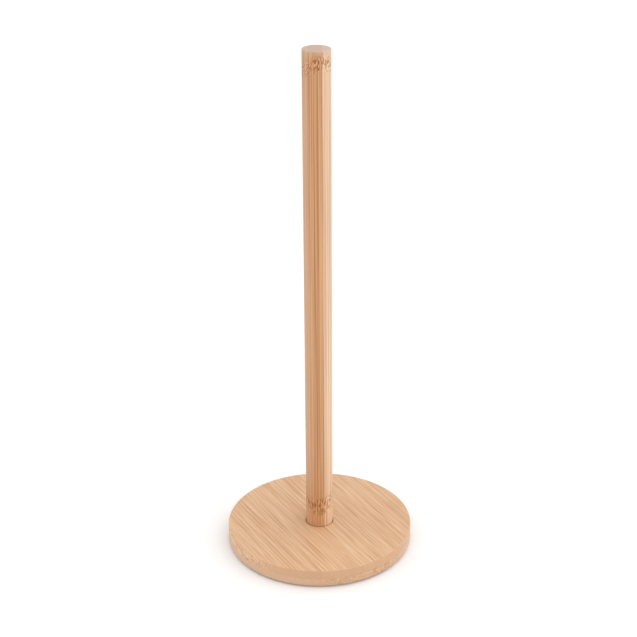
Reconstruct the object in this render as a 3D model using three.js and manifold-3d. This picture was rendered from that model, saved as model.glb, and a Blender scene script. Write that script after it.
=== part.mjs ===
// A paper towel holder. A round base board is glued up from two plies of bamboo. A round
// post is turned from three bamboo staves glued side by side, and stands in a shallow
// socket at the middle of the base. One countersunk wood screw comes up through the base
// and pulls the post down into its socket. Four soft pads stick to the underside.
//
// Millimetres, +Z up. The origin is the middle of the plane that the pads stand on.

import * as THREE from "three";
import { mergeVertices } from "three/addons/utils/BufferGeometryUtils.js";
import Module from "manifold-3d";

// Overall sizes
const overallHeight = 342;
const baseDiameter = 125;
const postDiameter = 18;

// The base board
const topPlyThickness = 6;
const bottomPlyThickness = 5.5;
const baseEdgeRadius = 0.8;

// The post, whose middle stave lies a little to the left of the axis
const centreStaveThickness = 8;
const centreStaveOffset = -0.75;
const postEndRadius = 0.6;
const postFootChamfer = 0.6;

// The socket that the post stands in
const socketDepth = 4;
const socketClearance = 0.25;
const socketMouthChamfer = 0.4;

// The fixing screw
const screwLength = 40;
const screwHeadDiameter = 8.8;
const screwHeadRim = 0.4;
const screwThreadDiameter = 4.5;
const screwCoreDiameter = 3;
const screwThreadPitch = 2;
const screwPlainLength = 10;
const screwPointLength = 4;
const screwPointDiameter = 0.5;
const screwHeadSunk = 0.4;
const screwClearance = 0.3;
const recessToHeadEdge = 2.1;
const recessWidth = 1.1;
const recessDepth = 1.9;

// The pads
const padCount = 4;
const padDiameter = 12;
const padThickness = 1.5;
const padEdgeRadius = 0.4;
const padToBaseEdge = 6;
const firstPadAngle = Math.PI / 4;

// Fineness of the round surfaces
const baseSegments = 96;
const postSegments = 60;
const screwSegments = 24;
const padSegments = 36;
const arcSteps = 3;
const threadSegments = 14;
const threadStepsPerTurn = 6;
const mergeDistance = 1e-4;

// How far a cutter runs on past what it cuts
const overrun = 10;

// Places that follow from the sizes
const baseRadius = baseDiameter / 2;
const postRadius = postDiameter / 2;
const baseUnderside = padThickness;
const plyJoint = baseUnderside + bottomPlyThickness;
const baseTop = plyJoint + topPlyThickness;
const socketFloor = baseTop - socketDepth;
const socketRadius = postRadius + socketClearance;
const leftStaveJoint = centreStaveOffset - centreStaveThickness / 2;
const rightStaveJoint = centreStaveOffset + centreStaveThickness / 2;
const screwHeadRadius = screwHeadDiameter / 2;
const screwCoreRadius = screwCoreDiameter / 2;
const screwHeadFace = baseUnderside + screwHeadSunk;
const screwPlainEnd = screwHeadFace + screwPlainLength;
const screwTip = screwHeadFace + screwLength;
const screwHoleRadius = screwThreadDiameter / 2 + screwClearance;
const padCircleRadius = baseRadius - padToBaseEdge - padDiameter / 2;

const bottomPlyMaterial = new THREE.MeshStandardMaterial({
  color: 0xd2a47c,
  roughness: 0.6,
  metalness: 0,
});
const topPlyMaterial = new THREE.MeshStandardMaterial({
  color: 0xdcae84,
  roughness: 0.55,
  metalness: 0,
});
const postMaterial = new THREE.MeshStandardMaterial({
  color: 0xd09c6c,
  roughness: 0.5,
  metalness: 0,
});
const screwMaterial = new THREE.MeshStandardMaterial({
  color: 0xb4b6ba,
  roughness: 0.35,
  metalness: 1,
});
const padMaterial = new THREE.MeshStandardMaterial({
  color: 0x2b2b2d,
  roughness: 0.9,
  metalness: 0,
});

const wasm = await Module();
wasm.setup();

// A closed three.js geometry as a solid that can be joined and cut.
function solidFrom(geometry) {
  const bare = geometry.clone();
  bare.deleteAttribute("normal");
  bare.deleteAttribute("uv");
  const merged = mergeVertices(bare, mergeDistance);
  return new wasm.Manifold(
    new wasm.Mesh({
      numProp: 3,
      vertProperties: merged.attributes.position.array,
      triVerts: new Uint32Array(merged.index.array),
    }),
  );
}

// A solid as a mesh with a name.
function namedMesh(name, solid, material) {
  const { vertProperties, numProp, triVerts } = solid.getMesh();
  const geometry = new THREE.BufferGeometry();
  geometry.setAttribute("position", new THREE.BufferAttribute(vertProperties, numProp));
  geometry.setIndex(new THREE.BufferAttribute(triVerts, 1));
  const flat = geometry.toNonIndexed();
  flat.computeVertexNormals();
  const mesh = new THREE.Mesh(flat, material);
  mesh.name = name;
  return mesh;
}

// A body turned about Z from an outline of (radius, height), which is drawn from its low
// end on the axis to its high end on the axis.
function turned(outline, segments) {
  const geometry = new THREE.LatheGeometry(outline.getPoints(arcSteps), segments);
  return solidFrom(geometry.rotateX(Math.PI / 2));
}

// A rectangular block between its lowest and its highest corner.
function block(low, high) {
  const size = new THREE.Vector3().subVectors(high, low);
  const middle = new THREE.Vector3().addVectors(high, low).multiplyScalar(0.5);
  const geometry = new THREE.BoxGeometry(size.x, size.y, size.z);
  return solidFrom(geometry.translate(middle.x, middle.y, middle.z));
}

// A solid in two: what lies inside the cutter, and what is left outside it.
function split(solid, cutter) {
  return [solid.intersect(cutter), solid.subtract(cutter)];
}

// The whole board, with both edges rounded over.
function boardBlank() {
  const arcCentre = baseRadius - baseEdgeRadius;
  const outline = new THREE.Path();
  outline.moveTo(0, baseUnderside);
  outline.lineTo(arcCentre, baseUnderside);
  outline.absarc(arcCentre, baseUnderside + baseEdgeRadius, baseEdgeRadius, -Math.PI / 2, 0);
  outline.lineTo(baseRadius, baseTop - baseEdgeRadius);
  outline.absarc(arcCentre, baseTop - baseEdgeRadius, baseEdgeRadius, 0, Math.PI / 2);
  outline.lineTo(0, baseTop);
  return turned(outline, baseSegments);
}

// The blind socket in the top face, with a small chamfer round its mouth.
function socketCutter() {
  const mouthRadius = socketRadius + socketMouthChamfer;
  const outline = new THREE.Path();
  outline.moveTo(0, socketFloor);
  outline.lineTo(socketRadius, socketFloor);
  outline.lineTo(socketRadius, baseTop - socketMouthChamfer);
  outline.lineTo(mouthRadius, baseTop);
  outline.lineTo(mouthRadius, baseTop + overrun);
  outline.lineTo(0, baseTop + overrun);
  return turned(outline, postSegments);
}

// The screw's way up through the base, countersunk for its head.
function screwHoleCutter() {
  const mouthRadius = screwHeadRadius + screwClearance;
  const coneStart = screwHeadFace + screwHeadRim + screwClearance / 2;
  const coneEnd = coneStart + mouthRadius - screwHoleRadius;
  const outline = new THREE.Path();
  outline.moveTo(0, baseUnderside - overrun);
  outline.lineTo(mouthRadius, baseUnderside - overrun);
  outline.lineTo(mouthRadius, coneStart);
  outline.lineTo(screwHoleRadius, coneEnd);
  outline.lineTo(screwHoleRadius, baseTop + overrun);
  outline.lineTo(0, baseTop + overrun);
  return turned(outline, screwSegments);
}

function makeBase() {
  const board = boardBlank().subtract(socketCutter()).subtract(screwHoleCutter());
  const outside = baseRadius + overrun;
  const belowJoint = block(
    new THREE.Vector3(-outside, -outside, baseUnderside - overrun),
    new THREE.Vector3(outside, outside, plyJoint),
  );
  const [bottomPly, topPly] = split(board, belowJoint);
  const group = new THREE.Group();
  group.add(namedMesh("base_bottom_ply", bottomPly, bottomPlyMaterial));
  group.add(namedMesh("base_top_ply", topPly, topPlyMaterial));
  return group;
}

// The whole post, with its top edge eased and its foot chamfered to enter the socket.
function postBlank() {
  const arcCentre = postRadius - postEndRadius;
  const outline = new THREE.Path();
  outline.moveTo(0, socketFloor);
  outline.lineTo(postRadius - postFootChamfer, socketFloor);
  outline.lineTo(postRadius, socketFloor + postFootChamfer);
  outline.lineTo(postRadius, overallHeight - postEndRadius);
  outline.absarc(arcCentre, overallHeight - postEndRadius, postEndRadius, 0, Math.PI / 2);
  outline.lineTo(0, overallHeight);
  return turned(outline, postSegments);
}

// The hole up the middle of the post that the screw is driven into.
function pilotHoleCutter() {
  const end = screwTip + screwClearance;
  const outline = new THREE.Path();
  outline.moveTo(0, socketFloor - overrun);
  outline.lineTo(screwHoleRadius, socketFloor - overrun);
  outline.lineTo(screwHoleRadius, end);
  outline.lineTo(0, end);
  return turned(outline, screwSegments);
}

// Everything that lies between two planes of constant X, as tall as the post.
function postSlab(fromX, toX) {
  const outside = postRadius + overrun;
  return block(
    new THREE.Vector3(fromX, -outside, socketFloor - overrun),
    new THREE.Vector3(toX, outside, overallHeight + overrun),
  );
}

function makePost() {
  const outside = postRadius + overrun;
  const post = postBlank().subtract(pilotHoleCutter());
  const [leftStave, rest] = split(post, postSlab(-outside, leftStaveJoint));
  const [rightStave, centreStave] = split(rest, postSlab(rightStaveJoint, outside));
  const group = new THREE.Group();
  group.add(namedMesh("post_left_stave", leftStave, postMaterial));
  group.add(namedMesh("post_centre_stave", centreStave, postMaterial));
  group.add(namedMesh("post_right_stave", rightStave, postMaterial));
  return group;
}

// The countersunk head and the plain part of the shank.
function screwHead() {
  const coneStart = screwHeadFace + screwHeadRim;
  const outline = new THREE.Path();
  outline.moveTo(0, screwHeadFace);
  outline.lineTo(screwHeadRadius, screwHeadFace);
  outline.lineTo(screwHeadRadius, coneStart);
  outline.lineTo(screwCoreRadius, coneStart + screwHeadRadius - screwCoreRadius);
  outline.lineTo(screwCoreRadius, screwPlainEnd);
  outline.lineTo(0, screwPlainEnd);
  return turned(outline, screwSegments);
}

// How far out the thread stands at a number of turns: 0 at the root and 1 at the crest.
function ridge(turns) {
  const share = turns - Math.floor(turns);
  return 1 - Math.abs(2 * share - 1);
}

// The threaded part: a bar whose skin rises and falls with the thread as it goes round,
// and which narrows to the point.
function screwThread() {
  const start = screwPlainEnd - screwThreadPitch;
  const length = screwTip - start;
  const steps = Math.round((length / screwThreadPitch) * threadStepsPerTurn);
  const geometry = new THREE.CylinderGeometry(1, 1, length, threadSegments, steps);
  geometry.rotateX(Math.PI / 2).translate(0, 0, start + length / 2);
  const positions = geometry.attributes.position;
  const threadHeight = screwThreadDiameter / 2 - screwCoreRadius;
  const pointRadius = screwPointDiameter / 2;
  for (let i = 0; i < positions.count; i++) {
    const x = positions.getX(i);
    const y = positions.getY(i);
    const z = positions.getZ(i);
    const turns = Math.atan2(y, x) / (2 * Math.PI) - (z - start) / screwThreadPitch;
    const runIn = Math.min(1, (z - start) / screwThreadPitch);
    const full = screwCoreRadius + threadHeight * ridge(turns) * runIn;
    const toPoint = Math.min(1, (screwTip - z) / screwPointLength);
    const radius = pointRadius + (full - pointRadius) * toPoint;
    positions.setXY(i, x * radius, y * radius);
  }
  return solidFrom(geometry);
}

// The cross that takes the driver.
function crossRecess() {
  const long = screwHeadRadius - recessToHeadEdge;
  const short = recessWidth / 2;
  const low = screwHeadFace - overrun;
  const high = screwHeadFace + recessDepth;
  const alongX = block(new THREE.Vector3(-long, -short, low), new THREE.Vector3(long, short, high));
  const alongY = block(new THREE.Vector3(-short, -long, low), new THREE.Vector3(short, long, high));
  return alongX.add(alongY);
}

function makeScrew() {
  const screw = screwHead().add(screwThread()).subtract(crossRecess());
  return namedMesh("fixing_screw", screw, screwMaterial);
}

// One pad, round and flat, with its lower edge eased.
function padSolid() {
  const padRadius = padDiameter / 2;
  const arcCentre = padRadius - padEdgeRadius;
  const outline = new THREE.Path();
  outline.moveTo(0, 0);
  outline.lineTo(arcCentre, 0);
  outline.absarc(arcCentre, padEdgeRadius, padEdgeRadius, -Math.PI / 2, 0);
  outline.lineTo(padRadius, padThickness);
  outline.lineTo(0, padThickness);
  return turned(outline, padSegments);
}

function makePads() {
  const group = new THREE.Group();
  for (let i = 0; i < padCount; i++) {
    const angle = firstPadAngle + (i * 2 * Math.PI) / padCount;
    const pad = namedMesh(`pad_${i + 1}`, padSolid(), padMaterial);
    pad.position.set(padCircleRadius * Math.cos(angle), padCircleRadius * Math.sin(angle), 0);
    group.add(pad);
  }
  return group;
}

const paperTowelHolder = new THREE.Group();
paperTowelHolder.add(makeBase(), makePost(), makeScrew(), makePads());

export default paperTowelHolder;
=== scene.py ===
# %% [markdown]
# # A bamboo paper towel holder
# A round base board with an upright round post at its middle. The board is glued up from
# two plies of bamboo whose grain runs crosswise, and the post is turned from three staves
# glued side by side. A countersunk screw comes up through the board into the post, and
# four rubber pads stick to the underside.
#
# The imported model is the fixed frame, and every size below is read from it or is a named
# value in metres. Each piece gets a finer mesh in the same place, and the finish comes
# from materials that know which way the fibres run.

# %% Load the frame
import math

import bmesh
import bpy
from mathutils import Matrix, Vector


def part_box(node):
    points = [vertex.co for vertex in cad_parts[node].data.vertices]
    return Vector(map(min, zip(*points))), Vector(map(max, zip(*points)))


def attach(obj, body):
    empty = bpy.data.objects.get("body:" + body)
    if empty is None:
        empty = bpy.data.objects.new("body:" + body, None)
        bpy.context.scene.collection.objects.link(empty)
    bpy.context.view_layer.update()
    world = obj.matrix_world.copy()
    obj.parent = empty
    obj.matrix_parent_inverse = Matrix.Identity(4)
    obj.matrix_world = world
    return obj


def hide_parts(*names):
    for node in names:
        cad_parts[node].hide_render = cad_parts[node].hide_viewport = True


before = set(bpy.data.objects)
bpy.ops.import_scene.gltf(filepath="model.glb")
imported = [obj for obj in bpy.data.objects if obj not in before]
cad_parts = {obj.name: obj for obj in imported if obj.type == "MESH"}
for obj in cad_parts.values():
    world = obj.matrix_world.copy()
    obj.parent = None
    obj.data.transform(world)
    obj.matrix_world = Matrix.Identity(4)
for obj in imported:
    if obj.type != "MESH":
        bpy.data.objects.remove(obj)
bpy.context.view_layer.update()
MM = 0.001
print("frame holds", ", ".join(sorted(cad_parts)))

# %% [markdown]
# ## Sizes from the frame
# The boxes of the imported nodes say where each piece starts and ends. Only what a box can't
# show is named here: the socket, the countersink and the rounding of the edges.

# %% Read the sizes
bottom_ply_low, bottom_ply_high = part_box("base_bottom_ply")
top_ply_low, top_ply_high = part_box("base_top_ply")
centre_low, centre_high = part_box("post_centre_stave")
screw_low, screw_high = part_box("fixing_screw")

board_radius = top_ply_high.x
board_underside = bottom_ply_low.z
ply_joint = top_ply_low.z
board_top = top_ply_high.z
post_radius = centre_high.y
post_foot = centre_low.z
post_top = centre_high.z
left_joint = centre_low.x
right_joint = centre_high.x
screw_head_face = screw_low.z
screw_tip = screw_high.z
screw_head_radius = screw_high.x
print(f"board {board_radius * 2000:.1f} mm across, post {post_radius * 2000:.1f} mm thick")

# %% Name what the boxes don't show
board_edge_round = 0.8 * MM
ply_joint_ease = 0.04 * MM
hole_edge_ease = 0.1 * MM
socket_radius = post_radius + 0.25 * MM
socket_chamfer = 0.4 * MM
post_end_round = 0.6 * MM
post_foot_chamfer = 0.6 * MM
screw_head_rim = 0.4 * MM
screw_head_ease = 0.12 * MM
screw_core_radius = 1.5 * MM
screw_crest_radius = 2.25 * MM
screw_gap = 0.3 * MM
screw_hole_radius = screw_crest_radius + screw_gap
print(f"socket {socket_radius * 2000:.1f} mm wide, {(board_top - post_foot) * 1000:.1f} mm deep")

# %% [markdown]
# ## Turning
# The board, the post, the pads and the screw are all round, as pieces that come off a lathe
# are. Blender's Spin does the same: it sweeps a half outline about the upright axis. It
# could be done with the Screw modifier too, but Spin gives a plain mesh at once, whose
# edges can then be picked by their place and rounded with Bevel.

# %% Turn an outline
ROUND_STEPS = 256
MERGE_DISTANCE = 1e-6


def turned(outline, closed, steps=ROUND_STEPS):
    """A bmesh swept about Z from an outline of (radius, height) points."""
    bm = bmesh.new()
    verts = [bm.verts.new((radius, 0.0, height)) for radius, height in outline]
    pairs = list(zip(verts, verts[1:]))
    if closed:
        pairs.append((verts[-1], verts[0]))
    edges = [bm.edges.new(pair) for pair in pairs]
    bmesh.ops.spin(
        bm,
        geom=verts + edges,
        cent=(0, 0, 0),
        axis=(0, 0, 1),
        angle=math.tau,
        steps=steps,
        use_merge=True,
    )
    bmesh.ops.remove_doubles(bm, verts=bm.verts, dist=MERGE_DISTANCE)
    bmesh.ops.recalc_face_normals(bm, faces=bm.faces)
    return bm


print("the bamboo is turned in", ROUND_STEPS, "steps")

# %% [markdown]
# ## Rounded edges
# No edge of a real holder is quite sharp: it was broken with a router bit or sandpaper, and
# that narrow rounding is what catches the light. A Bevel modifier would round every edge
# past some angle by the same amount. Here one ring of edges at a time is picked by its
# radius and its height, so that each gets a rounding of its own.

# %% Round one ring of edges
RING_TOLERANCE = MERGE_DISTANCE * 5


def round_ring(bm, radius, height, amount, segments):
    """Rounds the circular edge that lies at one radius and height."""

    def on_ring(vert):
        off_radius = abs(vert.co.xy.length - radius)
        return off_radius < RING_TOLERANCE and abs(vert.co.z - height) < RING_TOLERANCE

    edges = [edge for edge in bm.edges if all(on_ring(vert) for vert in edge.verts)]
    bmesh.ops.bevel(
        bm,
        geom=edges,
        offset=amount,
        offset_type="OFFSET",
        affect="EDGES",
        segments=segments,
        profile=0.5,
        material=-1,
    )


print(f"the board's outer edges are rounded by {board_edge_round * 1000:.1f} mm")

# %% [markdown]
# ## From a bmesh to a piece
# A finished piece shades smoothly round its curves but stays crisp at its hard edges, and
# the angle between two faces tells the one from the other. Each piece replaces one node of
# the frame and rides on the frame's only body, because nothing on this holder moves.

# %% Finish a piece
SHARP_ANGLE = math.radians(32)


def finish_piece(bm, name, replaced_node, material):
    """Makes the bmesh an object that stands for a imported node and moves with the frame."""
    mesh = bpy.data.meshes.new(name)
    bm.to_mesh(mesh)
    bm.free()
    mesh.shade_smooth()
    mesh.set_sharp_from_angle(angle=SHARP_ANGLE)
    mesh.materials.append(material)
    piece = bpy.data.objects.new(name, mesh)
    bpy.context.scene.collection.objects.link(piece)
    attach(piece, "root")
    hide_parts(replaced_node)
    print(f"{name}: {len(mesh.polygons)} faces")


print(f"edges stay hard past {math.degrees(SHARP_ANGLE):.0f} degrees")

# %% [markdown]
# ## Node helpers
# A material is a small program of nodes, and a few helpers keep it readable. Each one adds
# a node, fills its sockets with plain values or with links, and gives back what the next
# step uses: a sum, a value carried from one range to another, a mix of two colours, or one
# of the random values of a texture's cell.

# %% Add nodes, sums and mixes
def add(tree, kind, inputs=None, **settings):
    """A new node. Its settings come first, because some of them change its sockets."""
    made = tree.nodes.new(kind)
    for name, value in settings.items():
        setattr(made, name, value)
    for socket, value in (inputs or {}).items():
        if isinstance(value, bpy.types.NodeSocket):
            tree.links.new(value, made.inputs[socket])
        else:
            made.inputs[socket].default_value = value
    return made


def sum_of(tree, operation, first, second=0.0, third=0.0):
    inputs = {0: first, 1: second}
    if operation == "MULTIPLY_ADD":
        inputs[2] = third
    return add(tree, "ShaderNodeMath", inputs, operation=operation).outputs[0]


def between(tree, value, from_low, from_high, to_low=0.0, to_high=1.0):
    """A value carried smoothly from one range to another, and held at its ends."""
    inputs = {
        "Value": value,
        "From Min": from_low,
        "From Max": from_high,
        "To Min": to_low,
        "To Max": to_high,
    }
    node = add(tree, "ShaderNodeMapRange", inputs, interpolation_type="SMOOTHSTEP")
    return node.outputs["Result"]


def mixed(tree, factor, first, second):
    """One colour mixed into another. A Mix node keeps its colours in sockets 6, 7 and 2."""
    node = add(tree, "ShaderNodeMix", {0: factor, 6: first, 7: second}, data_type="RGBA")
    return node.outputs[2]


def colour(code):
    """A colour from its six-figure screen code, as the linear values that nodes use."""
    shares = [int(code[i : i + 2], 16) / 255 for i in (0, 2, 4)]
    linear = [((s + 0.055) / 1.055) ** 2.4 if s > 0.04 else s / 12.92 for s in shares]
    return (*linear, 1.0)


print("screen grey 808080 is", round(colour("808080")[0], 3), "in linear light")


# %% Add textures, vectors and groups
def vector_sum(tree, first, second, operation="ADD", third=None):
    inputs = {0: first, 1: second}
    if third is not None:
        inputs[2] = third
    return add(tree, "ShaderNodeVectorMath", inputs, operation=operation).outputs[0]


def parts_of(tree, vector):
    """The X, Y and Z of a vector."""
    return add(tree, "ShaderNodeSeparateXYZ", {0: vector}).outputs


def random_of(tree, cell_colour, channel=0):
    """One of the three random values that a Voronoi cell's colour holds."""
    return add(tree, "ShaderNodeSeparateColor", {0: cell_colour}).outputs[channel]


def voronoi(tree, vector, scale, randomness):
    """Cells in space. At randomness 0 they are cubes, and at 1 they lie freely."""
    inputs = {"Vector": vector, "Scale": scale, "Randomness": randomness}
    return add(tree, "ShaderNodeTexVoronoi", inputs, voronoi_dimensions="3D", feature="F1")


def noise(tree, vector, scale, detail):
    inputs = {"Vector": vector, "Scale": scale, "Detail": detail}
    return add(tree, "ShaderNodeTexNoise", inputs).outputs["Fac"]


def new_group(name, numbers, outputs):
    """A node group that takes a position and numbers, with its input and output nodes."""
    group = bpy.data.node_groups.new(name, "ShaderNodeTree")
    group.interface.new_socket("Position", in_out="INPUT", socket_type="NodeSocketVector")
    for socket in numbers:
        group.interface.new_socket(socket, in_out="INPUT", socket_type="NodeSocketFloat")
    for socket in outputs:
        group.interface.new_socket(socket, in_out="OUTPUT", socket_type="NodeSocketFloat")
    return group, group.nodes.new("NodeGroupInput"), group.nodes.new("NodeGroupOutput")


def use_group(tree, group, inputs):
    return add(tree, "ShaderNodeGroup", inputs, node_tree=group).outputs


print("helpers ready, node groups so far:", len(bpy.data.node_groups))

# %% [markdown]
# ## Strips
# A board is sawn from wide bamboo that was glued up from strips, and each strip was split
# from another part of the stem, so its tone and its lines are its own. A one-way Voronoi
# texture cuts the width into strips of uneven width. Its colour is a random value for each
# strip, and its distance to the edge finds the thin glue lines. A Brick texture could cut
# the strips too, but it would make them all equally wide.

# %% Split the width into strips
STRIP_UNEVENNESS = 0.4
GLUE_LINE = 0.16 * MM


def glued_strips(group, across, width, seed):
    """A random colour for each strip, and 1 on the glue lines between the strips."""
    counted = sum_of(group, "ADD", sum_of(group, "DIVIDE", across, width), seed)
    inputs = {"W": counted, "Scale": 1.0, "Randomness": STRIP_UNEVENNESS}
    cells, edges = (
        add(group, "ShaderNodeTexVoronoi", inputs, voronoi_dimensions="1D", feature=feature)
        for feature in ("F1", "DISTANCE_TO_EDGE")
    )
    from_glue = sum_of(group, "MULTIPLY", edges.outputs["Distance"], width)
    return cells.outputs["Color"], between(group, from_glue, 0.0, GLUE_LINE, 1.0, 0.0)


print(f"glue lines fade over {GLUE_LINE * 1000:.2f} mm to each side")

# %% [markdown]
# ## Veins
# Between the pale fibres run darker bundles that once carried the sap, and they show as
# short brown dashes. They are a second set of cells, laid over the threads: the middle of a
# cell is dark, but only some cells hold a vein, and some strips have more veins than others.

# %% Lay the veins
VEIN_UNEVENNESS = 0.7
VEIN_CORE, VEIN_EDGE = 0.16, 0.4
VEIN_POOR, VEIN_RICH = 0.2, 0.8
FEWEST_VEINS, MOST_VEINS = 0.6, 1.1
VEIN_FADE = 0.1


def dark_veins(group, given, own_place, strip_random):
    """1 in the middle of each vein."""
    scale = sum_of(group, "DIVIDE", given.outputs["Line Pitch"], given.outputs["Vein Pitch"])
    cells = voronoi(group, own_place, scale, VEIN_UNEVENNESS)
    dark = between(group, cells.outputs["Distance"], VEIN_CORE, VEIN_EDGE, 1.0, 0.0)
    strip_share = random_of(group, strip_random, 1)
    often = between(group, strip_share, VEIN_POOR, VEIN_RICH, FEWEST_VEINS, MOST_VEINS)
    spare = sum_of(group, "SUBTRACT", often, random_of(group, cells.outputs["Color"]))
    chosen = between(group, spare, -VEIN_FADE, VEIN_FADE)
    return sum_of(group, "MULTIPLY", dark, chosen)


print("from", FEWEST_VEINS, "of the cells up to all of them hold a vein")

# %% [markdown]
# ## Bamboo grain
# Bamboo has no growth rings. It is a bundle of straight fibres, so a cut along them shows
# long fine lines and a cut across them shows dots. One solid pattern gives both: cells that
# are many times longer along the fibres than across them. A Voronoi texture is used rather
# than noise alone, because its cells have crisp sides, as threads of fibre have.
#
# The group takes a position whose Y runs along the fibres. It gives a tone for each strip,
# a tone for each thread, the finer fibres within a thread, the veins and the glue lines.

# %% Build the grain group
STRIP_SHIFT = (40.0, 40.0, 40.0)
FIBRES_PER_THREAD = 2.4
FIBRE_DETAIL = 2.0
FIBRE_LOW, FIBRE_HIGH = 0.34, 0.66


def make_grain_group():
    numbers = ("Strip Width", "Line Pitch", "Line Length", "Line Depth", "Vein Pitch", "Seed")
    outputs = ("Tone", "Threads", "Fibre", "Veins", "Glue")
    group, given, result = new_group("Bamboo grain", numbers, outputs)
    place = parts_of(group, given.outputs["Position"])
    width, seed = given.outputs["Strip Width"], given.outputs["Seed"]
    strip_random, glue = glued_strips(group, place["X"], width, seed)

    across = sum_of(group, "DIVIDE", place["X"], given.outputs["Line Pitch"])
    along = sum_of(group, "DIVIDE", place["Y"], given.outputs["Line Length"])
    depth = sum_of(group, "DIVIDE", place["Z"], given.outputs["Line Depth"])
    cell_place = add(group, "ShaderNodeCombineXYZ", {0: across, 1: along, 2: depth}).outputs[0]
    own_place = vector_sum(group, strip_random, STRIP_SHIFT, "MULTIPLY_ADD", cell_place)
    threads = voronoi(group, own_place, 1.0, 1.0)
    fibre = noise(group, own_place, FIBRES_PER_THREAD, FIBRE_DETAIL)

    found = {
        "Tone": random_of(group, strip_random),
        "Threads": random_of(group, threads.outputs["Color"]),
        "Fibre": between(group, fibre, FIBRE_LOW, FIBRE_HIGH),
        "Veins": dark_veins(group, given, own_place, strip_random),
        "Glue": glue,
    }
    for output, value in found.items():
        group.links.new(value, result.inputs[output])
    return group


bamboo_grain = make_grain_group()
print("grain group has", len(bamboo_grain.nodes), "nodes")

# %% [markdown]
# ## The ring of a culm
# Every so often a bamboo culm has a ring, where it grew a wall across. A strip cut through
# it shows a band of short dark flecks that fan out, and the fine lines above the band don't
# carry on below it. Between the flecks, pale strokes are painted highlights, where light
# glints on the band. The flecks could be small meshes, but they lie in the surface, so they
# are Voronoi cells again, squeezed to a fleck's shape.
#
# The group takes the height of the ring along the fibres and gives the flecks, the pale
# strokes of painted highlight, and a value that is 0 below the ring and 1 above it. Arch
# bends the band down at its sides, or up if it is negative. Lean makes the flecks fan out,
# and its sign says which way. Middle is the side place that both are measured from.

# %% Place a ring's band and its flecks
FLECK_WIDTH = 0.85 * MM
FLECK_UNEVENNESS = 0.8
WAVER = 2.0 * MM
WAVERS_PER_METRE = 350.0


def over_ring(group, given, place, side):
    """How far a point is above the arched and slightly wavering line of the ring."""
    drop = sum_of(group, "MULTIPLY", sum_of(group, "MULTIPLY", side, side), given.outputs["Arch"])
    over = sum_of(group, "SUBTRACT", place["Y"], given.outputs["Height"])
    over = sum_of(group, "ADD", over, drop)
    waver = noise(group, given.outputs["Position"], WAVERS_PER_METRE, 1.0)
    over = sum_of(group, "MULTIPLY_ADD", waver, WAVER, over)
    return sum_of(group, "SUBTRACT", over, WAVER / 2)


def fleck_cells(group, given, place, side, over):
    """The Voronoi cells that each hold one fleck."""
    lean = sum_of(group, "MULTIPLY", sum_of(group, "MULTIPLY", side, over), given.outputs["Lean"])
    across = sum_of(group, "DIVIDE", sum_of(group, "ADD", side, lean), FLECK_WIDTH)
    along = sum_of(group, "DIVIDE", over, given.outputs["Fleck Length"])
    depth = sum_of(group, "DIVIDE", place["Z"], FLECK_WIDTH)
    cell_place = add(group, "ShaderNodeCombineXYZ", {0: across, 1: along, 2: depth}).outputs[0]
    cell_place = vector_sum(group, cell_place, given.outputs["Seed"])
    return voronoi(group, cell_place, 1.0, FLECK_UNEVENNESS).outputs


print(f"a fleck is about {FLECK_WIDTH * 1000:.2f} mm wide")

# %% Build the ring group
FLECK_CORE, FLECK_EDGE = 0.25, 0.62
FAINT_SHARE, FAINTEST = 0.4, 0.1
STROKE_START, STROKE_FULL = 0.45, 0.75
BAND_CORE = 0.45
RING_FADE = 0.4 * MM


def make_ring_group():
    numbers = ("Height", "Reach", "Middle", "Arch", "Lean", "Fleck Length", "Seed")
    group, given, result = new_group("Culm ring", numbers, ("Flecks", "Glints", "Above"))
    place = parts_of(group, given.outputs["Position"])
    side = sum_of(group, "SUBTRACT", place["X"], given.outputs["Middle"])
    over = over_ring(group, given, place, side)
    away = sum_of(group, "DIVIDE", sum_of(group, "ABSOLUTE", over), given.outputs["Reach"])
    band = between(group, away, BAND_CORE, 1.0, 1.0, 0.0)

    cells = fleck_cells(group, given, place, side, over)
    spot = between(group, cells["Distance"], FLECK_CORE, FLECK_EDGE, 1.0, 0.0)
    strong = between(group, random_of(group, cells["Color"]), 0.0, FAINT_SHARE, FAINTEST, 1.0)
    # Painted highlights: pale strokes at the edges of the fleck cells.
    stroke = between(group, cells["Distance"], STROKE_START, STROKE_FULL)
    found = {
        "Flecks": sum_of(group, "MULTIPLY", sum_of(group, "MULTIPLY", spot, strong), band),
        "Glints": sum_of(group, "MULTIPLY", stroke, band),
        "Above": between(group, over, -RING_FADE, RING_FADE),
    }
    for output, value in found.items():
        group.links.new(value, result.inputs[output])
    return group


culm_ring = make_ring_group()
print("ring group has", len(culm_ring.nodes), "nodes")

# %% [markdown]
# ## Cut ends and joints
# Where the fibres point out of the surface, they show their ends and soak up more finish.
# Comparing the surface's own direction with the run of the fibres finds those places, on
# the flat ends and on their rounded edges alike. Where two pieces meet, a thin darker line
# shows. It could be cut as a groove, but it is finer than a millimetre, so the material
# draws it at the joint's place. The same mask paints shade where the post meets the board:
# a line round the post's foot and a ring round the mouth of the socket.

# %% Find the cut ends and the joints
ACROSS, UP = 0, 2
END_STARTS, END_FULL = 0.2, 0.75
SEAM_AND_SHADE_LINE = 0.3 * MM
SHADOW_RING_LINE = 1.5 * SEAM_AND_SHADE_LINE
SHADOW_RING_STRENGTH = 1.25


def end_grain_mask(tree, turn):
    """1 where the fibres point straight out of the surface and 0 where they lie in it."""
    normal = add(tree, "ShaderNodeTexCoord").outputs["Normal"]
    turned_normal = add(
        tree, "ShaderNodeMapping", {"Vector": normal, "Rotation": turn}, vector_type="VECTOR"
    )
    facing = parts_of(tree, turned_normal.outputs[0])["Y"]
    return between(tree, sum_of(tree, "ABSOLUTE", facing), END_STARTS, END_FULL)


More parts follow.
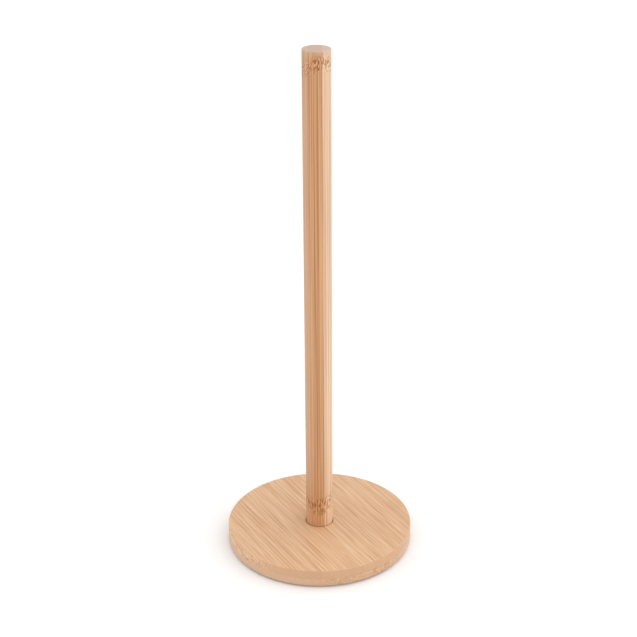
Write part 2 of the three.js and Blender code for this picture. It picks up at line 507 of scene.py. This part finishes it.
def seam_and_shade_mask(tree, seam_and_shade_lines, shadow_ring_radius):
    """1 where this piece meets the next: on joints and painted shade lines, each an axis and a
    place, and on a painted shadow ring.
    """
    place = add(tree, "ShaderNodeTexCoord").outputs["Object"]
    axes = parts_of(tree, place)
    mask = 0.0
    # Each plane is a real joint or, at the post's foot, a line of painted shade.
    for axis, at in seam_and_shade_lines:
        away = sum_of(tree, "ABSOLUTE", sum_of(tree, "SUBTRACT", axes[axis], at))
        mask = sum_of(tree, "MAXIMUM", between(tree, away, 0.0, SEAM_AND_SHADE_LINE, 1.0, 0.0), mask)
    # A ring of painted shadow round the mouth of the socket, darker than the joint lines.
    if shadow_ring_radius:
        flat_place = add(tree, "ShaderNodeCombineXYZ", {0: axes[0], 1: axes[1]}).outputs[0]
        from_axis = add(tree, "ShaderNodeVectorMath", {0: flat_place}, operation="LENGTH")
        beyond = sum_of(tree, "SUBTRACT", from_axis.outputs["Value"], shadow_ring_radius)
        ring = between(tree, beyond, 0.0, SHADOW_RING_LINE, SHADOW_RING_STRENGTH, 0.0)
        mask = sum_of(tree, "MAXIMUM", ring, mask)
    return mask


print(f"joint lines fade over {SEAM_AND_SHADE_LINE * 1000:.1f} mm to each side")

# %% [markdown]
# ## From lines to colours
# The tone at a point is a weight between the dark and the light of its bamboo: mostly the
# thread's tone and the finer fibres', with a little of the strip's. On the cut ends the
# weight is drawn most of the way to its average, so they look calmer. The rings are laid
# over it. Below the lower one the bamboo is from another stretch of the stem, so its lines
# start afresh. It is also painted a little lighter there: painted light, for the light
# that the board throws up onto the foot of the post.

# %% Weigh the lines and lay the rings
THREAD_SHARE, FIBRE_SHARE, TONE_SHARE = 0.5, 0.42, 0.08
AVERAGE_LINES = 0.46
END_CALM = 0.75
# Shares of the painted light below the lower ring, the painted highlights and the flecks.
BELOW_RING_LIGHT_SHARE, GLINT_SHARE, FLECK_SHARE = 0.32, 0.6, 0.95


def line_weight(tree, lines, end_grain):
    """0 for the darkest bamboo and 1 for the lightest."""
    weight = sum_of(tree, "MULTIPLY", lines["Threads"], THREAD_SHARE)
    weight = sum_of(tree, "MULTIPLY_ADD", lines["Fibre"], FIBRE_SHARE, weight)
    weight = sum_of(tree, "MULTIPLY_ADD", lines["Tone"], TONE_SHARE, weight)
    steady = sum_of(tree, "MULTIPLY_ADD", lines["Tone"], TONE_SHARE, AVERAGE_LINES)
    calm = sum_of(tree, "MULTIPLY", end_grain, END_CALM)
    inputs = {0: calm, 2: weight, 3: steady}
    return add(tree, "ShaderNodeMix", inputs, data_type="FLOAT").outputs[0]


def ring_marks(tree, place, rings):
    """Where the rings' marks lie, and the place with a jump at each ring for the lines."""
    grain_place = place
    flecks, glints, below = 0.0, 0.0, 0.0
    for ring_values in rings:
        ring = use_group(tree, culm_ring, {"Position": place, **ring_values})
        flecks = sum_of(tree, "MAXIMUM", ring["Flecks"], flecks)
        glints = sum_of(tree, "MAXIMUM", ring["Glints"], glints)
        below = sum_of(tree, "SUBTRACT", 1.0, ring["Above"])
        jump = add(tree, "ShaderNodeCombineXYZ", {1: ring["Above"]}).outputs[0]
        grain_place = vector_sum(tree, grain_place, jump)
    return flecks, glints, below, grain_place


def with_rings(tree, base, tones, flecks, glints, below):
    """The rings' marks laid over a colour, with painted light below the last ring of the list and
    painted highlights between the flecks.
    """
    # Painted light below the lower ring, then painted highlights between the flecks.
    base = mixed(tree, sum_of(tree, "MULTIPLY", below, BELOW_RING_LIGHT_SHARE), base, tones["light"])
    base = mixed(tree, sum_of(tree, "MULTIPLY", glints, GLINT_SHARE), base, tones["light"])
    return mixed(tree, sum_of(tree, "MULTIPLY", flecks, FLECK_SHARE), base, tones["fleck"])


print("shares of the tone:", THREAD_SHARE, "threads,", FIBRE_SHARE, "fibres,", TONE_SHARE, "strip")

# %% [markdown]
# ## Bamboo under lacquer
# One function makes all the bamboo materials, so that they belong together. It turns the
# object's coordinates so that Y runs along the fibres, lays the grain and the rings over
# each other, and sends the result to a Principled BSDF. Two soft changes are optional: a
# darker band about an upright plane, where the wood is denser, and a pale stretch over the
# last few millimetres before a sanded end. The lacquer is thin, so the lines can still be
# felt: they drive the roughness a little and a very shallow bump.

# %% Make a bamboo material
DENSE_REACH, DENSE_SHARE = 5 * MM, 0.16
PALE_REACH, PALE_SHARE = 4 * MM, 0.6
SEAM_AND_SHADE_SHARE, SEAM_AND_SHADE_SHARE_AT_END = 0.4, 0.12
VEIN_SHARE_AT_END = 0.14
COAT_WEIGHT, COAT_ROUGHNESS = 0.15, 0.28
DULL, GLOSSY = 0.5, 0.42
GRAIN_DEPTH, GRAIN_STRENGTH = 0.05 * MM, 0.35


def lacquer(tree, shader, lines):
    """A thin clear coat, and the lines that can be felt through it."""
    shader.inputs["Coat Weight"].default_value = COAT_WEIGHT
    shader.inputs["Coat Roughness"].default_value = COAT_ROUGHNESS
    rough = between(tree, lines["Fibre"], 0.0, 1.0, DULL, GLOSSY)
    tree.links.new(rough, shader.inputs["Roughness"])
    raised = sum_of(tree, "SUBTRACT", lines["Fibre"], lines["Veins"])
    inputs = {"Height": raised, "Strength": GRAIN_STRENGTH, "Distance": GRAIN_DEPTH}
    bump = add(tree, "ShaderNodeBump", inputs)
    tree.links.new(bump.outputs["Normal"], shader.inputs["Normal"])


def bamboo_material(
    name,
    turn,
    tones,
    grain,
    seam_and_shade_lines,
    end_share,
    veins,
    rings=(),
    dense_at=None,
    pale_at=None,
    shadow_ring_radius=None,
):
    """Bamboo in dark, light, vein and end tones, and a fleck tone if it has rings."""
    tones = {part: colour(code) for part, code in tones.items()}
    material = bpy.data.materials.new(name)
    material.use_nodes = True
    tree = material.node_tree
    shader = tree.nodes["Principled BSDF"]
    place = add(tree, "ShaderNodeTexCoord").outputs["Object"]
    place = add(tree, "ShaderNodeMapping", {"Vector": place, "Rotation": turn}).outputs[0]

    flecks, glints, below, grain_place = ring_marks(tree, place, rings)
    lines = use_group(tree, bamboo_grain, {"Position": grain_place, **grain})
    end_grain = end_grain_mask(tree, turn)
    base = mixed(tree, line_weight(tree, lines, end_grain), tones["dark"], tones["light"])
    if dense_at is not None:
        side = parts_of(tree, place)["X"]
        away = sum_of(tree, "ABSOLUTE", sum_of(tree, "SUBTRACT", side, dense_at))
        dense = between(tree, away, 0.0, DENSE_REACH, DENSE_SHARE, 0.0)
        base = mixed(tree, dense, base, tones["vein"])
    if pale_at is not None:
        height = parts_of(tree, place)["Y"]
        pale = between(tree, height, pale_at - PALE_REACH, pale_at, 0.0, PALE_SHARE)
        base = mixed(tree, pale, base, tones["end"])
    if rings:
        base = with_rings(tree, base, tones, flecks, glints, below)
    base = mixed(tree, sum_of(tree, "MULTIPLY", end_grain, end_share), base, tones["end"])

    vein_share = between(tree, end_grain, 0.0, 1.0, veins, VEIN_SHARE_AT_END)
    base = mixed(tree, sum_of(tree, "MULTIPLY", lines["Veins"], vein_share), base, tones["vein"])
    # Real glue lines and joints, with the painted shade round the post's foot and the socket's
    # mouth.
    seams_and_shade = sum_of(tree, "MAXIMUM", lines["Glue"], seam_and_shade_mask(tree, seam_and_shade_lines, shadow_ring_radius))
    seam_and_shade_share = between(tree, end_grain, 0.0, 1.0, SEAM_AND_SHADE_SHARE, SEAM_AND_SHADE_SHARE_AT_END)
    base = mixed(tree, sum_of(tree, "MULTIPLY", seams_and_shade, seam_and_shade_share), base, tones["vein"])
    tree.links.new(base, shader.inputs["Base Color"])
    lacquer(tree, shader, lines)
    return material


print(f"the lines stand up to {GRAIN_DEPTH * 1000:.2f} mm proud")

# %% [markdown]
# ## The bamboo of the board
# The upper ply's fibres run from the back left to the front right, and the lower ply's run
# across them, so that the board stays flat when the air is damp or dry. Both plies are glued
# up from strips about 9 mm wide. A board shows its fibres as short dashes, so here the cells
# are narrow and not very long. A thin dark ring of painted shadow is drawn round the mouth of
# the socket. It stands in for the real shadow in the gap, which is too narrow to show as dark
# as it really is.

# %% Mix the bamboo of the two plies
quarter_turn = math.pi / 2
board_grain_angle = math.radians(-60)
ply_glue = ((UP, ply_joint),)
board_grain = {
    "Strip Width": 9 * MM,
    "Line Pitch": 0.55 * MM,
    "Line Length": 50 * MM,
    "Line Depth": 1.6 * MM,
    "Vein Pitch": 0.78 * MM,
}

top_bamboo = bamboo_material(
    "board top bamboo",
    (0.0, 0.0, quarter_turn - board_grain_angle),
    {"dark": "c39068", "light": "eac69f", "vein": "ae774a", "end": "c0906b"},
    {**board_grain, "Seed": 0.3},
    ply_glue,
    end_share=0.4,
    veins=0.6,
    # Painted shadow round the mouth of the socket.
    shadow_ring_radius=socket_radius,
)
bottom_bamboo = bamboo_material(
    "board bottom bamboo",
    (0.0, 0.0, -board_grain_angle),
    {"dark": "ba885f", "light": "dfb992", "vein": "ae774a", "end": "dcb69a"},
    {**board_grain, "Seed": 4.1},
    ply_glue,
    end_share=0.5,
    veins=0.55,
)
print("mixed", top_bamboo.name, "and", bottom_bamboo.name)

# %% [markdown]
# ## The rings of the post
# Two rings cross the post, one just under its top and one a little above the board. Each
# stave could have rings of its own, but all three share these values, so that each band
# reads as one ring that goes round the post.

# %% Place the two rings
upper_ring = {
    "Height": post_top - 7.5 * MM,
    "Reach": 6 * MM,
    "Middle": 2.5 * MM,
    "Arch": 40.0,
    "Lean": 90.0,
    "Fleck Length": 2.8 * MM,
    "Seed": 19.68,
}
lower_ring = {
    "Height": board_top + 15 * MM,
    "Reach": 8 * MM,
    "Middle": -1 * MM,
    "Arch": -35.0,
    "Lean": -50.0,
    "Fleck Length": 4.2 * MM,
    "Seed": 27.9,
}
print(f"rings at {lower_ring['Height'] * 1000:.1f} and {upper_ring['Height'] * 1000:.1f} mm")

# %% [markdown]
# ## The bamboo of the post
# In the post the fibres run upwards. Its three staves come from different culms: a tan one
# on the left, an amber one in the middle and a pale one on the right. The grain's strips are
# set wider than the post, so that each stave is one strip. The wood is denser and darker
# near the middle of the front, pales towards the sanded top, and has a thin dark line at
# each joint. Round the foot, where the post meets the board, a thin line of painted shade
# is drawn.

# %% Mix the bamboo of the three staves
post_turn = (-quarter_turn, 0.0, 0.0)
dense_line = -1 * MM
# Painted shade: a dark line round the post where it comes out of the board.
foot_shade_line = (UP, board_top)
post_grain = {
    "Strip Width": 60 * MM,
    "Line Pitch": 0.8 * MM,
    "Line Length": 200 * MM,
    "Line Depth": 0.8 * MM,
    "Vein Pitch": 1.3 * MM,
}
tan_tones = {
    "dark": "b6835c",
    "light": "d9ac84",
    "vein": "955a2c",
    "fleck": "94501e",
    "end": "cbae9a",
}
amber_tones = {
    "dark": "bc8353",
    "light": "e4ae7d",
    "vein": "925220",
    "fleck": "8e4a18",
    "end": "c8a993",
}
pale_tones = {
    "dark": "c89c77",
    "light": "f1ceac",
    "vein": "a2683c",
    "fleck": "9c5a24",
    "end": "cdb29e",
}
on_the_left, on_the_right = (ACROSS, left_joint), (ACROSS, right_joint)
stave_kinds = {
    "left": (14.5, tan_tones, (on_the_left, foot_shade_line)),
    "centre": (14.5, amber_tones, (on_the_left, on_the_right, foot_shade_line)),
    "right": (25.5, pale_tones, (on_the_right, foot_shade_line)),
}
stave_bamboo = {
    side: bamboo_material(
        f"{side} stave bamboo",
        post_turn,
        tones,
        {**post_grain, "Seed": seed},
        seam_and_shade_lines,
        end_share=0.85,
        veins=0.52,
        rings=(upper_ring, lower_ring),
        dense_at=dense_line,
        pale_at=post_top,
    )
    for side, (seed, tones, seam_and_shade_lines) in stave_kinds.items()
}
print("mixed", ", ".join(material.name for material in stave_bamboo.values()))

# %% [markdown]
# ## The base board
# The two plies are turned one by one, because they are separate pieces of bamboo that are
# glued face to face. The upper one has the blind socket for the post, and the lower one is
# countersunk for the screw. The outer edges are rounded over as a router would do it, and
# the edges along the glue joint are eased by a hair so that the joint shows as a fine line.

# %% Turn the upper ply
def make_top_ply():
    mouth = socket_radius + socket_chamfer
    bm = turned(
        [
            (screw_hole_radius, ply_joint),
            (board_radius, ply_joint),
            (board_radius, board_top),
            (mouth, board_top),
            (socket_radius, board_top - socket_chamfer),
            (socket_radius, post_foot),
            (screw_hole_radius, post_foot),
        ],
        closed=True,
    )
    round_ring(bm, board_radius, board_top, board_edge_round, segments=6)
    round_ring(bm, board_radius, ply_joint, ply_joint_ease, segments=1)
    round_ring(bm, mouth, board_top, hole_edge_ease, segments=2)
    return bm


finish_piece(make_top_ply(), "base_upper", "base_top_ply", top_bamboo)


# %% Turn the lower ply
def make_bottom_ply():
    sink_radius = screw_head_radius + screw_gap
    sink_top = screw_head_face + screw_head_rim + screw_gap / 2
    bm = turned(
        [
            (sink_radius, board_underside),
            (board_radius, board_underside),
            (board_radius, ply_joint),
            (screw_hole_radius, ply_joint),
            (screw_hole_radius, sink_top + sink_radius - screw_hole_radius),
            (sink_radius, sink_top),
        ],
        closed=True,
    )
    round_ring(bm, board_radius, board_underside, board_edge_round, segments=6)
    round_ring(bm, board_radius, ply_joint, ply_joint_ease, segments=1)
    round_ring(bm, sink_radius, board_underside, hole_edge_ease, segments=2)
    return bm


finish_piece(make_bottom_ply(), "base_lower", "base_bottom_ply", bottom_bamboo)

# %% [markdown]
# ## The post
# A real post is glued up square and then turned round, so its joints are flat planes inside
# a perfect cylinder. The same order works here: the whole post is turned first, and Bisect
# then splits it at the two joints. Each cut is closed with one flat face, so every stave is
# a solid of its own and the outside stays perfectly round across the joints.

# %% Turn the whole post
def whole_post():
    pilot_end = screw_tip + screw_gap
    bm = turned(
        [
            (0.0, pilot_end),
            (screw_hole_radius, pilot_end),
            (screw_hole_radius, post_foot),
            (post_radius - post_foot_chamfer, post_foot),
            (post_radius, post_foot + post_foot_chamfer),
            (post_radius, post_top),
            (0.0, post_top),
        ],
        closed=False,
    )
    round_ring(bm, post_radius, post_top, post_end_round, segments=6)
    return bm


print(f"the post stands {(post_top - board_top) * 1000:.0f} mm above the board")

# %% Split it into staves
CUT_TOLERANCE = MERGE_DISTANCE / 10


def trim(bm, at_x, keep_right):
    """Cuts away one side of a plane across X and closes the cut."""
    cut = bmesh.ops.bisect_plane(
        bm,
        geom=bm.verts[:] + bm.edges[:] + bm.faces[:],
        dist=CUT_TOLERANCE,
        plane_co=(at_x, 0, 0),
        plane_no=(1, 0, 0),
        clear_inner=keep_right,
        clear_outer=not keep_right,
    )
    rim = [item for item in cut["geom_cut"] if isinstance(item, bmesh.types.BMEdge)]
    bmesh.ops.holes_fill(bm, edges=rim, sides=0)
    bmesh.ops.recalc_face_normals(bm, faces=bm.faces)


# Each cut is a place along X, and whether the side to its right is the one that stays.
staves = (
    ("post_left", "post_left_stave", "post_bamboo_tan", "left", ((left_joint, False),)),
    (
        "post_centre",
        "post_centre_stave",
        "post_bamboo_amber",
        "centre",
        ((left_joint, True), (right_joint, False)),
    ),
    ("post_right", "post_right_stave", "post_bamboo_pale", "right", ((right_joint, True),)),
)
for stave_name, stave_node, stave_slot, side, cuts in staves:
    stave = whole_post()
    for cut_at, keeps_right in cuts:
        trim(stave, cut_at, keeps_right)
    finish_piece(stave, stave_name, stave_node, stave_bamboo[side])

# %% [markdown]
# ## Zinc plated steel
# A cheap wood screw is plated with zinc: bright, a little cloudy, and finely scratched from
# lying in a box with others. It could be one plain metal, but then it would look like a
# mirror. Here a coarse noise shifts the tint and the roughness together, and a noise that
# is stretched along one axis makes the scratches.

# %% Make the steel
CLOUDS_PER_METRE = 900.0
CLOUD_LOW, CLOUD_HIGH = 0.3, 0.7
CLEAR_ROUGHNESS, CLOUDY_ROUGHNESS = 0.24, 0.42
SCRATCHES_PER_METRE = (3000, 400, 3000)
SCRATCH_DEPTH, SCRATCH_STRENGTH = 0.02 * MM, 0.2


def steel_material():
    material = bpy.data.materials.new("zinc plated steel")
    material.use_nodes = True
    tree = material.node_tree
    shader = tree.nodes["Principled BSDF"]
    shader.inputs["Metallic"].default_value = 1.0
    place = add(tree, "ShaderNodeTexCoord").outputs["Object"]
    cloud = noise(tree, place, CLOUDS_PER_METRE, 3.0)
    tint = mixed(tree, cloud, colour("a3a6ab"), colour("c9c8c2"))
    tree.links.new(tint, shader.inputs["Base Color"])
    rough = between(tree, cloud, CLOUD_LOW, CLOUD_HIGH, CLEAR_ROUGHNESS, CLOUDY_ROUGHNESS)
    tree.links.new(rough, shader.inputs["Roughness"])
    stretched = add(tree, "ShaderNodeMapping", {"Vector": place, "Scale": SCRATCHES_PER_METRE})
    scratch = add(tree, "ShaderNodeTexNoise", {"Vector": stretched.outputs[0], "Scale": 1.0})
    height = scratch.outputs["Fac"]
    inputs = {"Height": height, "Strength": SCRATCH_STRENGTH, "Distance": SCRATCH_DEPTH}
    bump = add(tree, "ShaderNodeBump", inputs)
    tree.links.new(bump.outputs["Normal"], shader.inputs["Normal"])
    return material


screw_steel = steel_material()
print("made", screw_steel.name)

# %% [markdown]
# ## The screw
# The thread is a ridge that winds up the shank. Blender's Screw modifier could sweep a
# tooth along a helix, but its ends would be open. Here the shank is turned with many rings,
# and each vertex of the threaded part is then moved out by how far round and how far up it
# is, so the screw stays one closed skin from its head to its point.

# %% Wind the thread
THREAD_PITCH = 2.0 * MM
RINGS_PER_PITCH = 12
SCREW_STEPS = 48
CREST_FULLNESS = 1.6
CREST_SHARPNESS = 1.5
thread_start = screw_head_face + 8 * MM
point_length = 4 * MM
point_radius = 0.25 * MM


def thread_radius(angle, height):
    """How far out the skin of the thread lies at an angle and a height."""
    turns = angle / math.tau - (height - thread_start) / THREAD_PITCH
    ridge = 1 - abs(2 * (turns - math.floor(turns)) - 1)
    crest = min(1.0, CREST_FULLNESS * ridge**CREST_SHARPNESS)
    run_in = min(1.0, (height - thread_start) / THREAD_PITCH)
    full = screw_core_radius + (screw_crest_radius - screw_core_radius) * crest * run_in
    to_point = min(1.0, (screw_tip - height) / point_length)
    return point_radius + (full - point_radius) * to_point


print(f"the thread is {(screw_tip - thread_start) * 1000:.1f} mm long")


# %% Turn the screw
def make_screw():
    cone_start = screw_head_face + screw_head_rim
    cone_end = cone_start + screw_head_radius - screw_core_radius
    rings = round((screw_tip - thread_start) / THREAD_PITCH * RINGS_PER_PITCH)
    step = (screw_tip - thread_start) / rings
    outline = [
        (0.0, screw_head_face),
        (screw_head_radius, screw_head_face),
        (screw_head_radius, cone_start),
        (screw_core_radius, cone_end),
    ]
    outline += [(screw_core_radius, thread_start + i * step) for i in range(rings + 1)]
    outline.append((0.0, screw_tip))
    bm = turned(outline, closed=False, steps=SCREW_STEPS)
    for vert in bm.verts:
        height = vert.co.z
        if height > thread_start and vert.co.xy.length > MERGE_DISTANCE:
            radius = thread_radius(math.atan2(vert.co.y, vert.co.x), height)
            vert.co.xy = vert.co.xy.normalized() * radius
    round_ring(bm, screw_head_radius, screw_head_face, screw_head_ease, segments=2)
    return bm


screw_blank = make_screw()
print("the screw's blank has", len(screw_blank.faces), "faces")

# %% [markdown]
# ## The cross in the screw's head
# The driver's cross is two tapered bars at right angles, wide at the face of the head and
# narrower inside it. The bars could be inset and extruded into the head, but its fan of
# faces has no edges in the right places, so a Boolean cuts them out of the turned screw.

# %% Shape the cutter
RECESS_ARM, RECESS_HALF_WIDTH, RECESS_DEPTH = 2.3 * MM, 0.55 * MM, 1.9 * MM
INNER_ARM, OUTER_ARM = 0.62, 1.06
INNER_WIDTH, OUTER_WIDTH = 0.8, 1.05
OVERSHOOT = 1 * MM


def make_recess_cutter():
    """A tapered cross, as the driver's tip is, that the head is cut with."""
    cutter = bmesh.new()
    for turn in (0.0, quarter_turn):
        made = bmesh.ops.create_cube(cutter, size=2.0)["verts"]
        for vert in made:
            inner = vert.co.z > 0
            along = RECESS_ARM * (INNER_ARM if inner else OUTER_ARM)
            across = RECESS_HALF_WIDTH * (INNER_WIDTH if inner else OUTER_WIDTH)
            height = screw_head_face + (RECESS_DEPTH if inner else -OVERSHOOT)
            vert.co = Vector((vert.co.x * along, vert.co.y * across, height))
        bmesh.ops.rotate(cutter, verts=made, cent=(0, 0, 0), matrix=Matrix.Rotation(turn, 3, "Z"))
    mesh = bpy.data.meshes.new("recess cutter")
    cutter.to_mesh(mesh)
    cutter.free()
    return bpy.data.objects.new("recess_cutter", mesh)


print(f"the cross is {RECESS_DEPTH * 1000:.1f} mm deep")


# %% Cut the cross and finish the screw
def cut_away(bm, cutter):
    """The bmesh with the cutter's shape taken out of it by a Boolean modifier."""
    mesh = bpy.data.meshes.new("blank")
    bm.to_mesh(mesh)
    bm.free()
    blank = bpy.data.objects.new("blank", mesh)
    for item in (blank, cutter):
        bpy.context.scene.collection.objects.link(item)
    boolean = blank.modifiers.new("cut", "BOOLEAN")
    boolean.object = cutter
    boolean.operation = "DIFFERENCE"
    boolean.solver = "EXACT"
    boolean.use_self = True
    bpy.context.view_layer.update()
    shaped = bmesh.new()
    shaped.from_object(blank, bpy.context.evaluated_depsgraph_get())
    for item in (blank, cutter):
        bpy.data.objects.remove(item)
    return shaped


cut_screw = cut_away(screw_blank, make_recess_cutter())
finish_piece(cut_screw, "screw", "fixing_screw", screw_steel)

# %% [markdown]
# ## Black rubber
# Black rubber is never quite black: dust greys it and dulls it in patches. A plain dark
# colour would look like a hole under the board, so a coarse noise lays the dust, and a fine
# one makes the grain of the sheet that the pads are pressed from.

# %% Make the rubber
GRAINS_PER_METRE = 2600.0
DUST_PER_METRE = 260.0
DUST_LOW, DUST_HIGH, MOST_DUST = 0.45, 0.75, 0.5
PATCH_LOW, PATCH_HIGH = 0.3, 0.7
CLEAN_ROUGHNESS, DUSTY_ROUGHNESS = 0.72, 0.92
RUBBER_DEPTH, RUBBER_STRENGTH = 0.06 * MM, 0.5


def rubber_material():
    material = bpy.data.materials.new("pad rubber")
    material.use_nodes = True
    tree = material.node_tree
    shader = tree.nodes["Principled BSDF"]
    place = add(tree, "ShaderNodeTexCoord").outputs["Object"]
    grain = noise(tree, place, GRAINS_PER_METRE, 3.0)
    dust = noise(tree, place, DUST_PER_METRE, 4.0)
    dusty = between(tree, dust, DUST_LOW, DUST_HIGH, 0.0, MOST_DUST)
    tint = mixed(tree, dusty, colour("26262a"), colour("4a4744"))
    tree.links.new(tint, shader.inputs["Base Color"])
    rough = between(tree, dust, PATCH_LOW, PATCH_HIGH, CLEAN_ROUGHNESS, DUSTY_ROUGHNESS)
    tree.links.new(rough, shader.inputs["Roughness"])
    inputs = {"Height": grain, "Strength": RUBBER_STRENGTH, "Distance": RUBBER_DEPTH}
    bump = add(tree, "ShaderNodeBump", inputs)
    tree.links.new(bump.outputs["Normal"], shader.inputs["Normal"])
    return material


pad_rubber = rubber_material()
print("made", pad_rubber.name)

# %% [markdown]
# ## The pads
# Four round rubber pads are stuck under the board. The edge that meets the worktop is
# rounded. One pad could be made and copied as an object, but a piece has to sit at the
# origin with its place in its mesh, so each pad is turned there and its mesh is moved.

# %% Turn the pads
PAD_STEPS = 96
pad_foot_round = 0.4 * MM
pad_top_ease = 0.1 * MM


def make_pad(low, high):
    radius = (high.x - low.x) / 2
    outline = [(0.0, low.z), (radius, low.z), (radius, high.z), (0.0, high.z)]
    bm = turned(outline, closed=False, steps=PAD_STEPS)
    round_ring(bm, radius, low.z, pad_foot_round, segments=5)
    round_ring(bm, radius, high.z, pad_top_ease, segments=2)
    middle = (low + high) / 2
    bmesh.ops.translate(bm, verts=bm.verts, vec=(middle.x, middle.y, 0))
    return bm


for pad_node in sorted(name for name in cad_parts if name.startswith("pad_")):
    pad = make_pad(*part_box(pad_node))
    finish_piece(pad, f"rubber_{pad_node}", pad_node, pad_rubber)

# %% [markdown]
# ## The floor
# A product like this is shown on a plain white sweep. A curved backdrop could be modelled,
# but the camera looks down, so one big flat square is enough. It glows very faintly, so
# that it stays nearly white where the board shades it.

# %% Lay the floor
FLOOR_HALF_SIDE = 8.0
FLOOR_WHITE = (0.9, 0.9, 0.9, 1.0)
PURE_WHITE = (1.0, 1.0, 1.0, 1.0)


def make_floor():
    material = bpy.data.materials.new("studio white")
    material.use_nodes = True
    shader = material.node_tree.nodes["Principled BSDF"]
    shader.inputs["Base Color"].default_value = FLOOR_WHITE
    shader.inputs["Emission Color"].default_value = PURE_WHITE
    shader.inputs["Emission Strength"].default_value = 0.05
    shader.inputs["Roughness"].default_value = 0.8
    bm = bmesh.new()
    bmesh.ops.create_grid(bm, x_segments=1, y_segments=1, size=FLOOR_HALF_SIDE)
    mesh = bpy.data.meshes.new("floor")
    bm.to_mesh(mesh)
    bm.free()
    mesh.materials.append(material)
    floor = bpy.data.objects.new("floor", mesh)
    bpy.context.scene.collection.objects.link(floor)


make_floor()
print("the floor is", 2 * FLOOR_HALF_SIDE, "m wide")

# %% [markdown]
# ## The lights
# A wide soft light from the right gives the post its bright side, a weaker one from the
# left keeps the shaded side clean, and a white world fills the rest. Sun lights with a wide
# angle are used rather than area lights, because they light the floor evenly all the way
# to the back.

# %% Hang the lights
SUN_SPREAD = math.radians(100)
SUN_AWAY = 2


def hang_sun(name, azimuth, elevation, strength):
    """A very soft light from far off, so that the whole floor is lit alike."""
    light = bpy.data.lights.new(name, "SUN")
    light.angle = SUN_SPREAD
    light.energy = strength
    sun = bpy.data.objects.new(name, light)
    turn = Matrix.Rotation(math.radians(azimuth), 3, "Z")
    tilt = Matrix.Rotation(math.radians(-elevation), 3, "Y")
    towards_sun = turn @ tilt @ Vector((1, 0, 0))
    sun.location = towards_sun * SUN_AWAY
    sun.rotation_euler = (-towards_sun).to_track_quat("-Z", "Y").to_euler()
    bpy.context.scene.collection.objects.link(sun)


def white_world(strength):
    world = bpy.data.worlds.new("white room")
    world.use_nodes = True
    background = world.node_tree.nodes["Background"]
    background.inputs["Color"].default_value = PURE_WHITE
    background.inputs["Strength"].default_value = strength
    bpy.context.scene.world = world


hang_sun("key light", azimuth=-8, elevation=45, strength=1.5)
hang_sun("fill light", azimuth=-172, elevation=45, strength=0.8)
white_world(strength=0.64)
bpy.context.scene.view_settings.view_transform = "Standard"
print("hung", len(bpy.data.lights), "lights")

# %% [markdown]
# ## The camera
# A long lens from a step away keeps the post nearly parallel. The camera looks down at the
# board, so that its round top opens into an ellipse.

# %% Set the camera
camera_right = 0.2 * MM
camera_back = 857.5 * MM
camera_height = 557.0 * MM
camera_tilt = math.radians(24.56)
camera_roll = math.radians(-0.377)
lens_mm = 82.54
sensor_mm = 36.0

camera_data = bpy.data.cameras.new("camera")
camera_data.lens = lens_mm
camera_data.sensor_width = sensor_mm
camera = bpy.data.objects.new("camera", camera_data)
camera.matrix_world = (
    Matrix.Translation((camera_right, -camera_back, camera_height))
    @ Matrix.Rotation(quarter_turn - camera_tilt, 4, "X")
    @ Matrix.Rotation(camera_roll, 4, "Z")
)
bpy.context.scene.collection.objects.link(camera)
bpy.context.scene.camera = camera
print(f"camera {camera_back:.3f} m back and {camera_height:.3f} m up")
